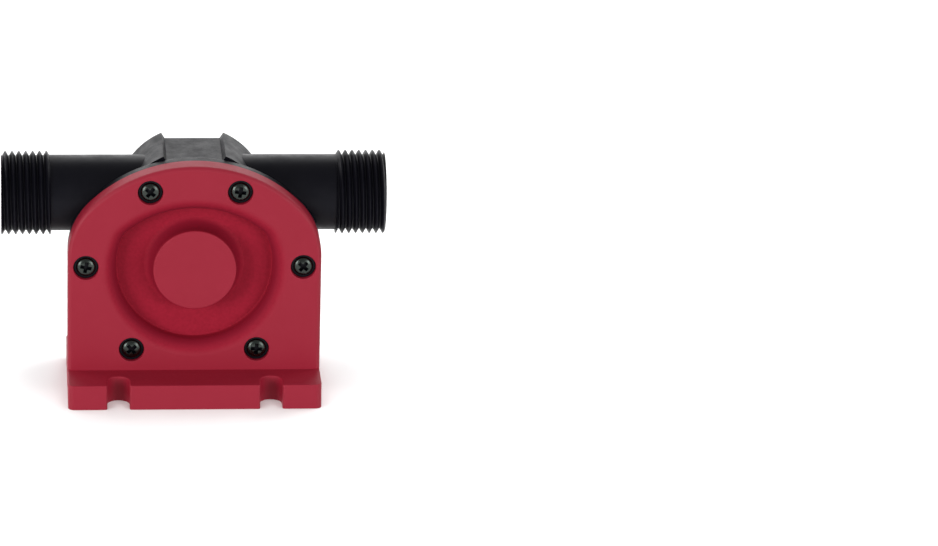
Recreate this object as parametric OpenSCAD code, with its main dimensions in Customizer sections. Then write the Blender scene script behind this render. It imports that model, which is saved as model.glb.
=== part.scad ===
// Drill powered pump: a flexible rubber impeller turning in a plastic casing.
// X runs along the two hose connections, Y runs to the rear along the drive shaft and Z is up.
// The origin lies on the surface that the pump stands on, below the middle of the cover's front face.

/* [Pump chamber] */
// Radius of the round pump chamber
chamber_r = 28.2; // [26:0.1:31]
// How much lower the flat that squeezes the vanes is than the top of the round
chamber_flat = 5.4; // [4:0.1:7]
// Radius of the chamber's corners beside the flat
chamber_corner_r = 7; // [4:0.5:9]
// Depth of the chamber along the shaft
chamber_depth = 17; // [14:0.5:22]

/* [Front cover] */
// Width of the rim between the chamber and the cover's sides
side_rim_w = 12.6; // [11.5:0.1:16]
// Width of the rim between the chamber's flat and the cover's top
top_rim_w = 12.3; // [11.5:0.1:16]
// Thickness of the rim
cover_t = 6.6; // [5:0.1:9]
// How much larger the radius of the arched top is than half the cover's width
arch_more = 6.9; // [4:0.1:15]
// Radius of the shoulders between the arched top and the straight sides
shoulder_r = 24; // [8:0.5:30]
// Radius of the rim's front edge
cover_edge_r = 2; // [0.5:0.1:3]
// Depth of the round recess in the front
recess_depth = 7; // [5.5:0.1:9]
// Wall between the side of the recess and the chamber
recess_wall = 3; // [2:0.1:4]
// Height of the recess's flat top above the chamber's flat, measured at its front edge
recess_rise = 2.9; // [1.5:0.1:3.6]
// Radius with which the recess rolls over into the front face
recess_roll_r = 5.1; // [3:0.1:5.4]
// Wall behind the recess
cover_wall = 3; // [2:0.1:5]
// Radius of the round hub in the middle of the recess
hub_face_r = 13.4; // [10.5:0.1:15]
// Depth of the hollow flank round the hub
hub_cove_deep = 6.2; // [3:0.1:6.5]
// Width of the flat floor between that flank and the recess's flat side
hub_floor_w = 1; // [0.5:0.1:4]

/* [Foot] */
// Thickness of the foot
foot_h = 8.3; // [6:0.1:12]
// How far the foot stands out in front of the cover
foot_front = 13.4; // [11:0.1:20]
// How far the foot reaches behind the cover's front face
foot_back = 32; // [24:0.5:45]
// Radius of the foot's corners
foot_corner_r = 2; // [0.5:0.1:3]
// Gap between the foot and the round casing above it
foot_gap = 3.4; // [2:0.1:8]
// Width of the open screw slots in the foot's front edge
slot_w = 7.2; // [5:0.1:9]
// Length of the slots, from the front edge to the end of the round
slot_l = 8; // [6:0.1:10]
// Distance between the two slots
slot_spacing = 49.2; // [30:0.1:60]

/* [Casing] */
// Thickness of the casing's flange behind the cover
flange_t = 3.8; // [3:0.1:6]
// Wall of the casing around and behind the chamber
casing_wall = 3; // [2:0.1:5]
// Radius of the rounded hump over the chamber
hump_r = 24.4; // [22:0.1:27]
// Distance from the hump's centre up to the middle of the pipes
hump_drop = 6.5; // [5:0.1:8]
// Wall of the hump above and behind the pipes
hump_wall = 1.6; // [1:0.1:3]
// Width of the flat saddle on top of the hump
saddle_w = 18.6; // [12:0.1:22]
// Number of ribs on the back of the casing
rib_count = 5; // [3:1:9]
// Angle from the first rib to the last
rib_span = 140; // [90:5:150]
// Thickness of a rib
rib_t = 2.4; // [1.5:0.1:4]
// Height of a rib
rib_h = 3.2; // [1.5:0.1:5]

/* [Hose connections] */
// Outer radius of the pipes
pipe_r = 12.25; // [11.6:0.05:13.2]
// Bore of the pipes, as a radius
pipe_bore_r = 9.5; // [7:0.1:10]
// How far the middle of the pipes lies below the chamber's flat
pipe_drop = 3.4; // [2:0.1:5]
// Wall in front of the pipes, where they pass the flange
pipe_skin = 1.2; // [0.8:0.1:2]
// How far the pipes stand out past the casing's sides
pipe_reach = 21.2; // [18:0.1:40]
// How much wider the radius of the ports in the casing is than the pipes' bore
port_step = 0.3; // [0.1:0.1:1]
// Half the width of the bridge between the two ports
port_bridge = 11; // [9:0.5:14]
// Outer diameter of the 3/4 inch garden hose thread
thread_d = 26.99; // [25.5:0.01:28]
// Depth of the thread
thread_depth = 1.43; // [0.8:0.01:1.6]
// Distance from one turn of the thread to the next, 11.5 to the inch
thread_pitch = 2.209; // [1.8:0.001:3]
// Length of the thread
thread_l = 16; // [10:0.5:20]
// Length of the spigot that seats a pipe in the casing
spigot_l = 3; // [2:0.5:5]
// Wall of the casing around the spigot
spigot_wall = 1.2; // [0.8:0.1:1.6]

/* [Shaft and bearings] */
// Diameter of the drive shaft
shaft_d = 8; // [6:0.1:9]
// Length of shaft that a drill chuck can grip
shaft_free_l = 32; // [24:1:45]
// Outer radius of the two bushes
bush_r = 6.5; // [5.6:0.1:7.5]
// Length of the front bush
front_bush_l = 6.4; // [4:0.1:7]
// Length of the rear bush
rear_bush_l = 11.5; // [8:0.5:16]
// Outer radius of the shaft seal
seal_r = 9; // [8:0.1:10]
// Length of the shaft seal
seal_l = 6; // [5:0.1:8]
// Wall of the rear hub around the seal
hub_wall = 4; // [3:0.1:6]
// Wall of the bearing cap
cap_wall = 1.8; // [1.2:0.1:3]
// Thickness of the bearing cap's end
cap_t = 2.4; // [1.5:0.1:4]
// Length of the bearing cap's skirt
cap_skirt = 5; // [3:0.1:7]
// Number of grip notches around the bearing cap
cap_notches = 12; // [6:1:24]

/* [Impeller] */
// Number of rubber vanes
vane_count = 8; // [6:1:10]
// Thickness of a vane
vane_t = 2.2; // [1.4:0.1:3]
// Radius of the bulb at the end of a vane
vane_bulb_r = 1.7; // [1.2:0.1:2.2]
// Radius that a vane reaches before it is bent into the chamber
vane_free_r = 28.6; // [27:0.1:30]
// Outer radius of the impeller's rubber core
core_r = 12; // [11:0.1:13.5]
// Outer radius of the hub inside the rubber
hub_r = 7.5; // [6.5:0.1:8.5]
// Number of splines on the hub
spline_count = 6; // [3:1:10]
// Width of a spline
spline_w = 2; // [1:0.1:3]
// Height of a spline
spline_h = 1; // [0.5:0.1:1.5]
// Diameter of the pin that locks the hub to the shaft
pin_d = 2.5; // [1.5:0.1:3.5]
// Thickness of the thrust washers
washer_t = 0.8; // [0.4:0.1:1.2]

/* [Screws and seal] */
// Radius of a screw's head
screw_head_r = 3.2; // [2.8:0.1:3.6]
// Height of a screw's head
screw_head_h = 2.1; // [1.5:0.1:2.4]
// Radius of a screw's shank
screw_shank_r = 1.6; // [1.2:0.05:1.8]
// Length of a screw's shank
screw_shank_l = 9.6; // [8:0.1:10.4]
// Radius of the sunk round that a screw's head sits in
screw_sink_r = 4.05; // [3.8:0.05:4.6]
// Depth of that sunk round
screw_sink = 2.6; // [2.2:0.1:3.4]
// Distance of the top screws past the ends of the chamber's flat
top_screw_gap = 0.27; // [0:0.01:2]
// Height of the top screws above the chamber's flat
top_screw_rise = 3.7; // [3.6:0.1:5]
// Distance of the side screws from the chamber's wall
side_screw_gap = 6.75; // [5:0.05:7.5]
// Height of the side screws above the shaft
side_screw_rise = 0.9; // [0:0.1:2]
// Distance of the lower screws from the chamber's wall
low_screw_gap = 5.92; // [4.5:0.01:6.5]
// Angle of the lower screws below the shaft
low_screw_angle = 53.7; // [48:0.1:58]
// Width of the rubber seal around the cover's plug
seal_w = 1.3; // [1:0.1:1.5]

/* [Hidden] */

$fn = 96;

// Clearances between pieces.
cut = 1; // how far a cutting shape runs past the face that it cuts
running_fit = 0.05; // radial clearance of the shaft in its bushes
press_fit = 0.02; // radial clearance of pieces that are pressed together
seat_gap = 0.05; // clearance of pieces that are glued or clamped together
end_gap = 0.3; // clearance at the ends of what turns
plug_gap = 0.15; // clearance of the cover's plug in the casing
tip_gap = 0.15; // clearance of the vanes' bulbs in the chamber
screw_gap = 0.4; // radial clearance of a screw in the cover

// Depths behind the cover's front face.
plug_y = recess_depth + cover_wall; // back of the cover's plug, front of the chamber
chamber_y = plug_y + chamber_depth; // back of the chamber
drum_y = chamber_y + casing_wall; // back of the round casing
flange_y = cover_t + flange_t; // back of the flange
pipe_y = cover_t + pipe_skin + pipe_r; // middle of the pipes
hump_y = pipe_y + pipe_r + hump_wall; // back of the hump
seal_y = chamber_y + seal_l + end_gap; // back of the shaft seal's seat
hub_y = seal_y + rear_bush_l; // back of the rear hub
cap_y = hub_y + cap_t; // back of the bearing cap
shaft_y = cap_y + shaft_free_l; // free end of the shaft

// Heights and widths.
chamber_top = chamber_r - chamber_flat; // height of the chamber's flat above the shaft
recess_top = chamber_top + recess_rise;
hub_cove_w = recess_top - recess_roll_r - hub_face_r - hub_floor_w; // width of the hub's flank
body_w = 2 * (chamber_r + side_rim_w);
arch_r = body_w / 2 + arch_more;
axis_z = foot_h + foot_gap + casing_wall + chamber_r;
arch_z = axis_z + chamber_top + top_rim_w - arch_r;
pipe_z = axis_z + chamber_top - pipe_drop;
hump_z = pipe_z - hump_drop;
saddle_z = pipe_z + pipe_r + hump_wall;
shaft_r = shaft_d / 2;
rear_hub_r = seal_r + hub_wall;
cap_r = rear_hub_r + cap_wall;
pipe_end_x = body_w / 2 + pipe_reach;
joint_x = chamber_r + spigot_l - end_gap; // where a pipe meets its stub on the casing
spigot_r = pipe_r - spigot_wall;
port_r = pipe_bore_r + port_step;

// Smaller details.
hub_edge_r = 0.4; // rounding of the hub's front edge
seal_deep = seal_w; // depth of the seat for the cover's seal
thread_crest = thread_pitch / 8; // width of the flat on a crest and in a root
thread_lead = thread_pitch; // length over which the thread rises from nothing
shaft_chamfer = 0.8; // chamfer at the ends of the shaft
ring_t = 0.8; // thickness of the retaining ring
ring_deep = 0.7; // depth of its groove in the shaft
ring_w = 2.4; // width of the retaining ring's band
ring_mouth = 100; // angle of its opening
spring_wire_r = 0.45; // wire of the spring round the seal's lip
lip_t = 1.1; // thickness of the seal's lip
seal_shell = 1.3; // thickness of the seal's outer wall and web
screw_slot_w = 0.9; // width of a cross slot
screw_slot_l = 3.6; // length of a cross slot
screw_slot_deep = 1.2; // depth of a cross slot
boss_r = 4; // radius of the casing's screw bosses
boss_l = 5; // how far they reach behind the flange
notch_r = 0.9; // radius of the bearing cap's grip notches
hump_foot = 1.3; // wall of the hump below the pipes
saddle_side = 1.6; // width of the slant at each side of the saddle
cap_hole_gap = 0.6; // radial clearance of the shaft in the bearing cap
pocket_gap = 0.4; // gap between the front bush and the bottom of its pocket

// Places of the screws beside and above the shaft, clockwise from the top left.
flat_half = sqrt(pow(chamber_r - chamber_corner_r, 2) - pow(chamber_top - chamber_corner_r, 2));
top_screw = [flat_half + top_screw_gap, chamber_top + top_screw_rise];
side_screw = [chamber_r + side_screw_gap, side_screw_rise];
low_screw = (chamber_r + low_screw_gap) * [cos(low_screw_angle), -sin(low_screw_angle)];
screw_places = [
    flipped(top_screw), top_screw,
    side_screw, low_screw,
    flipped(low_screw), flipped(side_screw)
];

// How finely the round stretches are drawn.
corner_steps = 8;
round_steps = 72;
roll_steps = 6;
edge_steps = 4;
thread_steps = 36;
vane_steps = 12;

function flipped(p) = [-p[0], p[1]];
function clamped(v, low, high) = max(low, min(high, v));
function without_first(list) = [for (i = [1:len(list) - 1]) list[i]];

// Points along an arc, from one angle to another.
function arc(middle, r, from, to, steps) =
    [for (i = [0:steps]) middle + r * [for (f = [0, 90]) cos(from + (to - from) * i / steps - f)]];

// Clockwise outline of a circle with a flat top and rounded corners, round its own middle.
function cam_outline(r, top, corner) =
    let (up = top - corner,
        side = sqrt(pow(r - corner, 2) - pow(up, 2)),
        turn = atan2(up, side))
    concat(
        arc([side, up], corner, 90, turn, corner_steps),
        without_first(arc([0, 0], r, turn, -180 - turn, round_steps)),
        without_first(arc([-side, up], corner, 180 - turn, 90, corner_steps))
    );

// The chamber's outline, moved outwards by a distance.
function chamber_outline(out = 0) =
    cam_outline(chamber_r + out, chamber_top + out, chamber_corner_r + out);

// The recess's outline, moved outwards from its outline at the floor.
function recess_outline(out = 0) =
    cam_outline(chamber_r - recess_wall + out, recess_top - recess_roll_r + out,
        chamber_corner_r - recess_wall + out);

// Clockwise outline of the arched cover, moved inwards by a distance, from a height upwards.
function arch_outline(bottom, inset = 0) =
    let (shoulder_x = body_w / 2 - shoulder_r,
        up = sqrt(pow(arch_r - shoulder_r, 2) - pow(shoulder_x, 2)),
        turn = atan2(up, shoulder_x),
        w = body_w / 2 - inset)
    concat(
        [[-w, bottom]],
        arc([-shoulder_x, arch_z + up], shoulder_r - inset, 180, 180 - turn, corner_steps),
        without_first(arc([0, arch_z], arch_r - inset, 180 - turn, turn, round_steps / 2)),
        without_first(arc([shoulder_x, arch_z + up], shoulder_r - inset, turn, 0, corner_steps)),
        [[w, bottom]]
    );

// A shape drawn in X and Z, extruded from one depth to another.
module deep(from, to) {
    translate([0, to, 0])
        rotate([90, 0, 0])
            linear_extrude(to - from)
                children();
}

// A round rod along the shaft's direction.
module rod(r, from, to) {
    translate([0, from, 0])
        rotate([-90, 0, 0])
            cylinder(r = r, h = to - from);
}

// A profile of radius and depth, turned round the shaft's direction.
module turned(profile) {
    rotate([-90, 0, 0])
        rotate_extrude()
            polygon(profile);
}

// A round rod along X.
module cross_rod(r, from, to) {
    translate([from, 0, 0])
        rotate([0, 90, 0])
            cylinder(r = r, h = to - from);
}

module at_axis() {
    translate([0, 0, axis_z])
        children();
}

// A solid through outlines of equal length that lie one behind another.
module loft(depths, outlines) {
    n = len(outlines[0]);
    rows = len(outlines);
    points = [for (j = [0:rows - 1]) for (p = outlines[j]) [p[0], depths[j], p[1]]];
    sides = [for (j = [0:rows - 2]) for (i = [0:n - 1])
        let (a = j * n + i, b = j * n + (i + 1) % n)
        each [[a, a + n, b + n], [a, b + n, b]]];
    front = [for (i = [0:n - 1]) i];
    back = [for (i = [n - 1:-1:0]) (rows - 1) * n + i];
    polyhedron(points, concat([front], sides, [back]), convexity = 10);
}

// The cover's arched plate, with its front edge rounded.
module cover_plate() {
    turns = [for (i = [0:edge_steps]) 90 * i / edge_steps];
    depths = concat([for (t = turns) cover_edge_r * (1 - cos(t))], [cover_t]);
    insets = concat([for (t = turns) cover_edge_r * (1 - sin(t))], [0]);
    loft(depths, [for (inset = insets) arch_outline(foot_h / 2, inset)]);
}

// What the recess takes out of the cover: its walls roll over into the front face.
module recess() {
    turns = [for (i = [0:roll_steps]) 90 * i / roll_steps];
    depths = concat([-cut], [for (t = turns) recess_roll_r * (1 - cos(t))], [recess_depth]);
    outs = concat([recess_roll_r], [for (t = turns) recess_roll_r * (1 - sin(t))], [0]);
    loft(depths, [for (out = outs) recess_outline(out)]);
}

// The round hub that stands in the recess, with its hollow flank.
module front_hub() {
    flank = [for (i = [0:corner_steps]) let (turn = 90 + 90 * i / corner_steps)
        [hub_face_r + hub_cove_w * (1 + cos(turn)), recess_depth - hub_cove_deep * (1 - sin(turn))]];
    turned(concat(
        [[0, 0], [hub_face_r - hub_edge_r, 0], [hub_face_r, hub_edge_r]],
        [for (i = [len(flank) - 1:-1:0]) flank[i]],
        [[hub_face_r + hub_cove_w, plug_y], [0, plug_y]]
    ));
}

module foot_plate() {
    w = body_w / 2;
    c = foot_corner_r;
    outline = concat(
        arc([w - c, foot_back - c], c, 90, 0, corner_steps),
        arc([w - c, c - foot_front], c, 0, -90, corner_steps),
        arc([c - w, c - foot_front], c, -90, -180, corner_steps),
        arc([c - w, foot_back - c], c, 180, 90, corner_steps)
    );
    linear_extrude(foot_h)
        polygon(outline);
}

module foot_slot() {
    end_y = slot_l - slot_w / 2 - foot_front;
    translate([0, end_y, -cut])
        cylinder(r = slot_w / 2, h = foot_h + 2 * cut);
    translate([-slot_w / 2, -foot_front - cut, -cut])
        cube([slot_w, end_y + foot_front + cut, foot_h + 2 * cut]);
}

module front_cover() color("firebrick") {
    difference() {
        union() {
            difference() {
                union() {
                    cover_plate();
                    at_axis()
                        deep(cover_t - cover_edge_r, plug_y)
                            polygon(chamber_outline(-plug_gap));
                }
                at_axis()
                    recess();
            }
            at_axis()
                front_hub();
            foot_plate();
        }
        at_axis()
            rod(bush_r + press_fit, plug_y - front_bush_l - pocket_gap, plug_y + cut);
        for (place = screw_places)
            translate([place[0], 0, axis_z + place[1]]) {
                rod(screw_sink_r, -cut, screw_sink);
                rod(screw_shank_r + screw_gap, 0, plug_y + cut);
            }
        for (side = [-1, 1])
            translate([side * slot_spacing / 2, 0, 0])
                foot_slot();
    }
}

module hump() {
    low = pipe_z - pipe_r - hump_foot;
    half = saddle_w / 2;
    tip = half + saddle_side;
    tip_z = hump_z + hump_r;
    deep(flange_y - seat_gap, hump_y)
        difference() {
            translate([0, hump_z])
                circle(r = hump_r);
            translate([-hump_r - cut, hump_z - hump_r - cut])
                square([2 * (hump_r + cut), low - hump_z + hump_r + cut]);
            polygon([[-half, saddle_z], [half, saddle_z], [tip, tip_z], [-tip, tip_z]]);
        }
}

module ribs() {
    for (i = [0:rib_count - 1])
        rotate([0, rib_span * (i / (rib_count - 1) - 1 / 2) + 90, 0])
            translate([rear_hub_r - cut, drum_y - seat_gap, -rib_t / 2])
                cube([chamber_r - rear_hub_r + cut, rib_h + seat_gap, rib_t]);
}

module pump_casing() color("dimgray") {
    difference() {
        union() {
            deep(cover_t, flange_y)
                polygon(arch_outline(foot_h + seat_gap));
            at_axis()
                deep(cover_t, drum_y)
                    polygon(chamber_outline(casing_wall));
            hump();
            for (side = [-1, 1])
                scale([side, 1, 1])
                    translate([0, pipe_y, pipe_z])
                        cross_rod(pipe_r, port_bridge, joint_x);
            for (place = screw_places)
                translate([place[0], 0, axis_z + place[1]])
                    rod(boss_r, cover_t, flange_y + boss_l);
            at_axis() {
                rod(rear_hub_r, chamber_y, hub_y);
                ribs();
            }
        }
        at_axis() {
            deep(cover_t - cut, chamber_y)
                polygon(chamber_outline());
            deep(cover_t - cut, cover_t + seal_deep)
                polygon(chamber_outline(seal_w + seat_gap));
            rod(seal_r + press_fit, chamber_y - cut, seal_y);
            rod(bush_r + press_fit, chamber_y, hub_y + cut);
        }
        for (side = [-1, 1])
            scale([side, 1, 1])
                translate([0, pipe_y, pipe_z]) {
                    cross_rod(port_r, port_bridge, joint_x + cut);
                    cross_rod(spigot_r + seat_gap, joint_x - spigot_l, joint_x + cut);
                    cross_rod(pipe_r + seat_gap, joint_x, body_w);
                }
        for (place = screw_places)
            translate([place[0], 0, axis_z + place[1]])
                rod(screw_shank_r + press_fit, cover_t - cut, screw_sink + screw_shank_l + end_gap);
    }
}

// A rod with one helical thread that fades out at both ends, along X from its outer end.
module threaded_rod() {
    root = thread_d / 2 - thread_depth;
    flank = (thread_pitch - 2 * thread_crest) / 2;
    starts = [0, thread_crest, thread_crest + flank, 2 * thread_crest + flank];
    lifts = [0, 0, 1, 1];
    stations = 4 * (ceil(thread_l / thread_pitch) + 2);
    columns = stations + 5;
    points = [for (i = [0:thread_steps - 1]) for (j = [0:columns - 1])
        let (turn = i / thread_steps,
            along = (floor(j / 4) - 1 + turn) * thread_pitch + starts[j % 4],
            x = clamped(along, 0, thread_l),
            fade = clamped(min(x, thread_l - x) / thread_lead, 0, 1),
            r = root + thread_depth * lifts[j % 4] * fade)
        [x, r * cos(360 * turn), r * sin(360 * turn)]];
    sides = [for (i = [0:thread_steps - 1]) for (j = [0:stations - 1])
        let (wrap = i == thread_steps - 1,
            a = i * columns + j,
            b = wrap ? j + 4 : a + columns)
        each [[a, a + 1, b + 1], [a, b + 1, b]]];
    outer_end = [for (i = [0:thread_steps - 1]) i * columns];
    inner_end = [for (i = [thread_steps - 1:-1:0]) i * columns + stations];
    polyhedron(points, concat([outer_end], sides, [inner_end]), convexity = 10);
}

// One hose connection, along X from its threaded outer end to its spigot.
module hose_pipe() {
    pipe_l = pipe_end_x - joint_x;
    difference() {
        union() {
            threaded_rod();
            cross_rod(pipe_r, thread_l - thread_lead / 2, pipe_l - seat_gap);
            cross_rod(spigot_r, pipe_l - cut, pipe_l + spigot_l - seat_gap);
        }
        cross_rod(pipe_bore_r, -cut, pipe_l);
        cross_rod(port_r, pipe_l - seat_gap, pipe_l + spigot_l + cut);
    }
}

module inlet_pipe() color("dimgray") {
    translate([-pipe_end_x, pipe_y, pipe_z])
        hose_pipe();
}

module outlet_pipe() color("dimgray") {
    translate([pipe_end_x, pipe_y, pipe_z])
        rotate([0, 0, 180])
            hose_pipe();
}

module cover_seal() color("black") {
    at_axis()
        deep(cover_t + seat_gap, cover_t + seal_deep - seat_gap)
            difference() {
                polygon(chamber_outline(seal_w));
                polygon(chamber_outline(seat_gap - plug_gap));
            }
}

// Points along the middle of a vane that leaves the core at an angle and bends by a total angle.
function vane_line(angle, bend) =
    let (step = (vane_free_r - vane_bulb_r - core_r) / vane_steps,
        starts = core_r * [cos(angle), sin(angle)])
    [for (k = 0, p = starts; k <= vane_steps; k = k + 1,
        p = p + step * [cos(angle - bend * k / vane_steps), sin(angle - bend * k / vane_steps)]) p];

// Whether the whole vane, with its bulb, lies inside the chamber.
function vane_fits(line) =
    len([for (k = [1:vane_steps])
        let (room = tip_gap + (k == vane_steps ? vane_bulb_r : vane_t / 2))
        if (norm(line[k]) > chamber_r - room || line[k][1] > chamber_top - room) k]) == 0;

// The smallest bend, in whole degrees, with which a vane fits.
function vane_bend(angle, bend = 0) =
    bend > 160 || vane_fits(vane_line(angle, bend)) ? bend : vane_bend(angle, bend + 1);

module vane(angle) {
    line = vane_line(angle, vane_bend(angle));
    sides = [for (k = [0:vane_steps - 1])
        let (along = line[k + 1] - line[k], across = [-along[1], along[0]] / norm(along))
        [line[k] + across * vane_t / 2, line[k] - across * vane_t / 2]];
    tip = line[vane_steps];
    root = (core_r - vane_t) * [cos(angle), sin(angle)];
    wide = vane_t / 2 * [-sin(angle), cos(angle)];
    polygon(concat(
        [root + wide],
        [for (s = sides) s[0]],
        [tip],
        [for (k = [vane_steps - 1:-1:0]) sides[k][1]],
        [root - wide]
    ));
    translate(tip)
        circle(r = vane_bulb_r);
}

module splines(r, h, w, from, to) {
    for (i = [0:spline_count - 1])
        rotate([0, 360 * i / spline_count, 0])
            translate([r - h, from, -w / 2])
                cube([2 * h, to - from, w]);
}

module rubber_impeller() color("black") {
    from = plug_y + end_gap;
    to = chamber_y - end_gap;
    at_axis()
        difference() {
            union() {
                rod(core_r, from, to);
                for (i = [0:vane_count - 1])
                    deep(from, to)
                        vane(90 + 360 * (i + 1 / 2) / vane_count);
            }
            rod(hub_r + seat_gap, from - cut, to + cut);
            splines(hub_r, spline_h + seat_gap, spline_w + 2 * seat_gap, from - cut, to + cut);
        }
}

module impeller_hub() color("goldenrod") {
    from = plug_y + 2 * end_gap + washer_t;
    to = chamber_y - 2 * end_gap - washer_t;
    at_axis()
        difference() {
            union() {
                rod(hub_r, from, to);
                splines(hub_r, spline_h, spline_w, from, to);
            }
            rod(shaft_r + press_fit, from - cut, to + cut);
            translate([0, (plug_y + chamber_y) / 2, -hub_r - spline_h - cut])
                cylinder(d = pin_d + 2 * press_fit, h = 2 * (hub_r + spline_h + cut));
        }
}

module drive_pin() color("silver") {
    reach = hub_r - end_gap;
    translate([0, (plug_y + chamber_y) / 2, axis_z - reach])
        cylinder(d = pin_d, h = 2 * reach);
}

module drive_shaft() color("silver") {
    front = plug_y - front_bush_l;
    groove = cap_y + end_gap;
    at_axis()
        difference() {
            turned([[0, front], [shaft_r - shaft_chamfer, front], [shaft_r, front + shaft_chamfer],
                [shaft_r, shaft_y - shaft_chamfer], [shaft_r - shaft_chamfer, shaft_y], [0, shaft_y]]);
            translate([0, (plug_y + chamber_y) / 2, -shaft_r - cut])
                cylinder(d = pin_d + 2 * press_fit, h = 2 * (shaft_r + cut));
            difference() {
                rod(shaft_r + cut, groove, groove + ring_t + 2 * seat_gap);
                rod(shaft_r - ring_deep, groove - cut, groove + ring_t + cut);
            }
        }
}

module bush(from, to) {
    at_axis()
        difference() {
            rod(bush_r, from, to);
            rod(shaft_r + running_fit, from - cut, to + cut);
        }
}

module front_bush() color("peru") {
    bush(plug_y - front_bush_l, plug_y - end_gap);
}

module rear_bush() color("peru") {
    bush(seal_y + seat_gap, hub_y - seat_gap);
}

// A lip seal: a stiff outer ring, a web at the back and a lip that follows the shaft.
module shaft_seal() color("black") {
    from = chamber_y + end_gap;
    to = seal_y - seat_gap;
    lip_r = shaft_r + 2 * running_fit;
    at_axis()
        turned([[seal_r, from], [seal_r, to], [lip_r, to], [lip_r, from],
            [lip_r + lip_t, from], [lip_r + lip_t, to - seal_shell],
            [seal_r - seal_shell, to - seal_shell], [seal_r - seal_shell, from]]);
}

// The ring shaped spring that holds the seal's lip on the shaft.
module seal_spring() color("silver") {
    ring_r = shaft_r + 2 * running_fit + lip_t + spring_wire_r + seat_gap;
    at_axis()
        rotate([-90, 0, 0])
            translate([0, 0, chamber_y + end_gap + 2 * spring_wire_r])
                rotate_extrude()
                    translate([ring_r, 0])
                        circle(r = spring_wire_r, $fn = 32);
}

module bearing_cap() color("dimgray") {
    at_axis()
        difference() {
            turned([[shaft_r + cap_hole_gap, hub_y + seat_gap], [rear_hub_r + seat_gap, hub_y + seat_gap],
                [rear_hub_r + seat_gap, hub_y - cap_skirt], [cap_r, hub_y - cap_skirt],
                [cap_r, cap_y - shaft_chamfer], [cap_r - shaft_chamfer, cap_y],
                [shaft_r + cap_hole_gap, cap_y]]);
            for (i = [0:cap_notches - 1])
                rotate([0, 360 * i / cap_notches, 0])
                    translate([cap_r, 0, 0])
                        rod(notch_r, hub_y - cap_skirt - cut, cap_y + cut);
        }
}

module thrust_washer(from) {
    at_axis()
        difference() {
            rod(hub_r - end_gap, from, from + washer_t);
            rod(shaft_r + running_fit, from - cut, from + washer_t + cut);
        }
}

module thrust_washer_front() color("silver") {
    thrust_washer(plug_y + end_gap);
}

module thrust_washer_rear() color("silver") {
    thrust_washer(chamber_y - end_gap - washer_t);
}

// An open spring ring in its groove on the shaft.
module retaining_ring() color("silver") {
    inner_r = shaft_r - ring_deep + seat_gap;
    from = cap_y + end_gap + seat_gap;
    reach = 2 * (inner_r + ring_w);
    at_axis()
        difference() {
            rod(inner_r + ring_w, from, from + ring_t);
            rod(inner_r, from - cut, from + ring_t + cut);
            deep(from - cut, from + ring_t + cut)
                polygon([[0, 0], for (a = [-1, 0, 1]) reach * [sin(a * ring_mouth / 2), -cos(a * ring_mouth / 2)]]);
        }
}

// A pan head screw with a cross slot, at its numbered place.
module cover_screw(i) color("black") {
    place = screw_places[i];
    seat = screw_sink - seat_gap;
    top = seat - screw_head_h;
    rise = screw_head_h / 3;
    translate([place[0], 0, axis_z + place[1]])
        difference() {
            turned(concat(
                [[0, top], [screw_head_r / 2, top]],
                arc([screw_head_r - 2 * rise, top + 2 * rise], 2 * rise, -60, 0, edge_steps),
                [[screw_head_r, seat], [screw_shank_r, seat],
                [screw_shank_r, screw_sink + screw_shank_l], [0, screw_sink + screw_shank_l]]
            ));
            for (turn = [45, 135])
                rotate([0, turn, 0])
                    translate([-screw_slot_l / 2, top - cut, -screw_slot_w / 2])
                        cube([screw_slot_l, screw_slot_deep + cut, screw_slot_w]);
        }
}

front_cover();
pump_casing();
inlet_pipe();
outlet_pipe();
cover_seal();
rubber_impeller();
impeller_hub();
drive_pin();
drive_shaft();
front_bush();
rear_bush();
shaft_seal();
seal_spring();
bearing_cap();
thrust_washer_front();
thrust_washer_rear();
retaining_ring();
for (i = [0:len(screw_places) - 1])
    cover_screw(i);
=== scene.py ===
# A drill powered pump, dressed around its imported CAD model.
# X runs along the hose connections, Y to the rear along the drive shaft, Z up. Sizes are in mm.
import math
import bmesh
import bpy
from mathutils import Matrix, Vector


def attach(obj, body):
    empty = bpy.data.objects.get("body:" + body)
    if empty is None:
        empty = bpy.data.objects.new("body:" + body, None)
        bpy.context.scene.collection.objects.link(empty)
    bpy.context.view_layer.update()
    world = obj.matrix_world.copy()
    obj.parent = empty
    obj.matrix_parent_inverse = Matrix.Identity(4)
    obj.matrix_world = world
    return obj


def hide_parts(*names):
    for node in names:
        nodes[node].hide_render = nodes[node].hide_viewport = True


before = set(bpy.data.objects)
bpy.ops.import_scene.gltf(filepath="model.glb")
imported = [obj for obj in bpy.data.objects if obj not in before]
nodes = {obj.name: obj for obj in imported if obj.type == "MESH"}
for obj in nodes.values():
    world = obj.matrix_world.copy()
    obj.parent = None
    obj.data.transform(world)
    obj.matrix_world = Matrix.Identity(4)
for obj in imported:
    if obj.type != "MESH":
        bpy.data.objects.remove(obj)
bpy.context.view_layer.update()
mm = 0.001
overrun = 1  # how far a tool runs past what it cuts, or into what it joins
hair = 0.01  # ends that differ by less than this are level


def metres(*sizes):
    return tuple(size * mm for size in sizes)


# Camera: nearly in front of the cover, looking down on it, with the pump left of the middle
view = {
    "look": (0, 5, 40), "distance": 1700, "azimuth": -2.3, "elevation": 21.3, "roll": 0.576,
    "yaw": 2.99, "lens": 201.9, "sensor": 36, "near": 10, "far": 20000,
}


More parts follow.
